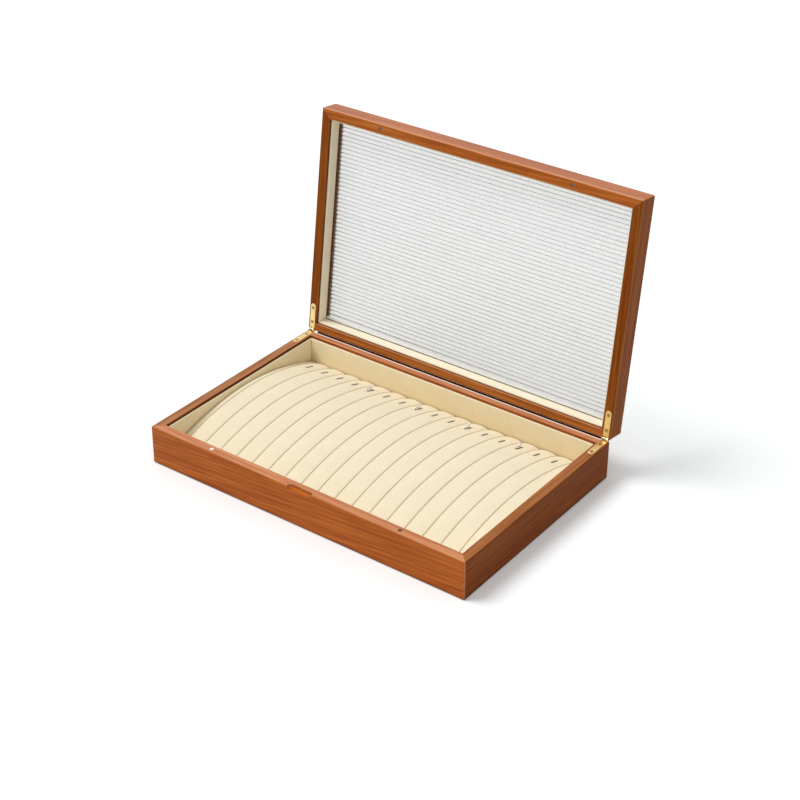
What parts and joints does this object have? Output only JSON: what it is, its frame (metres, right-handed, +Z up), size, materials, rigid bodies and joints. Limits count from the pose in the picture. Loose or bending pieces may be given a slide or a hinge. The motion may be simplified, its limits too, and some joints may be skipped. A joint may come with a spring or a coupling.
{
  "type": "jewellery box",
  "caption": "Flat wooden necklace box: hinged lid with a ribbed clear panel over a curved, grooved cream pad with tip-up hooks; magnets hold the front edges shut.",
  "frame": {"origin": "middle of the underside of the base, on the surface that the box stands on", "axes": "+X to the right of someone facing the front, +Y to the back where the hinges are, +Z up"},
  "size_m": [0.35, 0.2786, 0.268],
  "materials": {
    "rails": "satin, open grained, reddish brown",
    "bottom": "satin, thin board",
    "lining": "cream suede-like cloth on board",
    "pad": "pale cream suede-like cloth, pressed into channels",
    "board": "raw thin board",
    "bearers": "raw pine",
    "hooks": "white, smooth",
    "hook_rail": "white, smooth",
    "rod": "drawn",
    "hinges": "polished",
    "screws": "polished",
    "magnets": "nickel plated",
    "panel": "clear, ribbed on its inner face"
  },
  "bodies": {
    "base": {"base_front_rail": "rails", "base_back_rail": "rails", "base_left_rail": "rails", "base_right_rail": "rails", "base_bottom_panel": "bottom", "base_front_liner": "lining", "base_back_liner": "lining", "base_left_liner": "lining", "base_right_liner": "lining", "necklace_pad": "pad", "pad_board": "board", "pad_bearer_1": "bearers", "pad_bearer_2": "bearers", "pad_bearer_3": "bearers", "pad_bearer_4": "bearers", "pad_bearer_5": "bearers", "hook_rail": "hook_rail", "hook_rod": "rod", "hinge_left_base_leaf": "hinges", "hinge_right_base_leaf": "hinges", "hinge_left_pin": "hinges", "hinge_right_pin": "hinges", "base_hinge_screws": "screws", "base_left_magnet": "magnets", "base_right_magnet": "magnets"},
    "lid": {"lid_front_rail": "rails", "lid_back_rail": "rails", "lid_left_rail": "rails", "lid_right_rail": "rails", "lid_front_liner": "lining", "lid_back_liner": "lining", "lid_left_liner": "lining", "lid_right_liner": "lining", "hinge_left_lid_leaf": "hinges", "hinge_right_lid_leaf": "hinges", "lid_hinge_screws": "screws", "lid_left_magnet": "magnets", "lid_right_magnet": "magnets", "ribbed_panel": "panel"},
    "hook_01": {"necklace_hook_01": "hooks"},
    "hook_02": {"necklace_hook_02": "hooks"},
    "hook_03": {"necklace_hook_03": "hooks"},
    "hook_04": {"necklace_hook_04": "hooks"},
    "hook_05": {"necklace_hook_05": "hooks"},
    "hook_06": {"necklace_hook_06": "hooks"},
    "hook_07": {"necklace_hook_07": "hooks"},
    "hook_08": {"necklace_hook_08": "hooks"},
    "hook_09": {"necklace_hook_09": "hooks"},
    "hook_10": {"necklace_hook_10": "hooks"},
    "hook_11": {"necklace_hook_11": "hooks"},
    "hook_12": {"necklace_hook_12": "hooks"},
    "hook_13": {"necklace_hook_13": "hooks"},
    "hook_14": {"necklace_hook_14": "hooks"},
    "hook_15": {"necklace_hook_15": "hooks"},
    "hook_16": {"necklace_hook_16": "hooks"},
    "hook_17": {"necklace_hook_17": "hooks"}
  },
  "joints": [
    {"name": "lid_hinge", "type": "hinge", "parent": "base", "child": "lid", "pos_m": [0, 0.115, 0.0399], "axis": [1, 0, 0], "range_deg": [0, 97.2]},
    {"name": "hook_01_tilt", "type": "hinge", "parent": "base", "child": "hook_01", "pos_m": [-0.14725, 0.06944, 0.01854], "axis": [1, 0, 0], "range_deg": [0, 30]},
    {"name": "hook_02_tilt", "type": "hinge", "parent": "base", "child": "hook_02", "pos_m": [-0.12825, 0.06944, 0.01854], "axis": [1, 0, 0], "range_deg": [0, 30]},
    {"name": "hook_03_tilt", "type": "hinge", "parent": "base", "child": "hook_03", "pos_m": [-0.10925, 0.06944, 0.01854], "axis": [1, 0, 0], "range_deg": [0, 30]},
    {"name": "hook_04_tilt", "type": "hinge", "parent": "base", "child": "hook_04", "pos_m": [-0.09025, 0.06944, 0.01854], "axis": [1, 0, 0], "range_deg": [0, 30]},
    {"name": "hook_05_tilt", "type": "hinge", "parent": "base", "child": "hook_05", "pos_m": [-0.07125, 0.06944, 0.01854], "axis": [1, 0, 0], "range_deg": [-30, 0]},
    {"name": "hook_06_tilt", "type": "hinge", "parent": "base", "child": "hook_06", "pos_m": [-0.05225, 0.06944, 0.01854], "axis": [1, 0, 0], "range_deg": [0, 30]},
    {"name": "hook_07_tilt", "type": "hinge", "parent": "base", "child": "hook_07", "pos_m": [-0.03325, 0.06944, 0.01854], "axis": [1, 0, 0], "range_deg": [0, 30]},
    {"name": "hook_08_tilt", "type": "hinge", "parent": "base", "child": "hook_08", "pos_m": [-0.01425, 0.06944, 0.01854], "axis": [1, 0, 0], "range_deg": [-30, 0]},
    {"name": "hook_09_tilt", "type": "hinge", "parent": "base", "child": "hook_09", "pos_m": [0.00475, 0.06944, 0.01854], "axis": [1, 0, 0], "range_deg": [0, 30]},
    {"name": "hook_10_tilt", "type": "hinge", "parent": "base", "child": "hook_10", "pos_m": [0.02375, 0.06944, 0.01854], "axis": [1, 0, 0], "range_deg": [0, 30]},
    {"name": "hook_11_tilt", "type": "hinge", "parent": "base", "child": "hook_11", "pos_m": [0.04275, 0.06944, 0.01854], "axis": [1, 0, 0], "range_deg": [-30, 0]},
    {"name": "hook_12_tilt", "type": "hinge", "parent": "base", "child": "hook_12", "pos_m": [0.06175, 0.06944, 0.01854], "axis": [1, 0, 0], "range_deg": [0, 30]},
    {"name": "hook_13_tilt", "type": "hinge", "parent": "base", "child": "hook_13", "pos_m": [0.08075, 0.06944, 0.01854], "axis": [1, 0, 0], "range_deg": [0, 30]},
    {"name": "hook_14_tilt", "type": "hinge", "parent": "base", "child": "hook_14", "pos_m": [0.09975, 0.06944, 0.01854], "axis": [1, 0, 0], "range_deg": [-30, 0]},
    {"name": "hook_15_tilt", "type": "hinge", "parent": "base", "child": "hook_15", "pos_m": [0.11875, 0.06944, 0.01854], "axis": [1, 0, 0], "range_deg": [0, 30]},
    {"name": "hook_16_tilt", "type": "hinge", "parent": "base", "child": "hook_16", "pos_m": [0.13775, 0.06944, 0.01854], "axis": [1, 0, 0], "range_deg": [0, 30]},
    {"name": "hook_17_tilt", "type": "hinge", "parent": "base", "child": "hook_17", "pos_m": [0.15675, 0.06944, 0.01854], "axis": [1, 0, 0], "range_deg": [0, 30]}
  ]
}
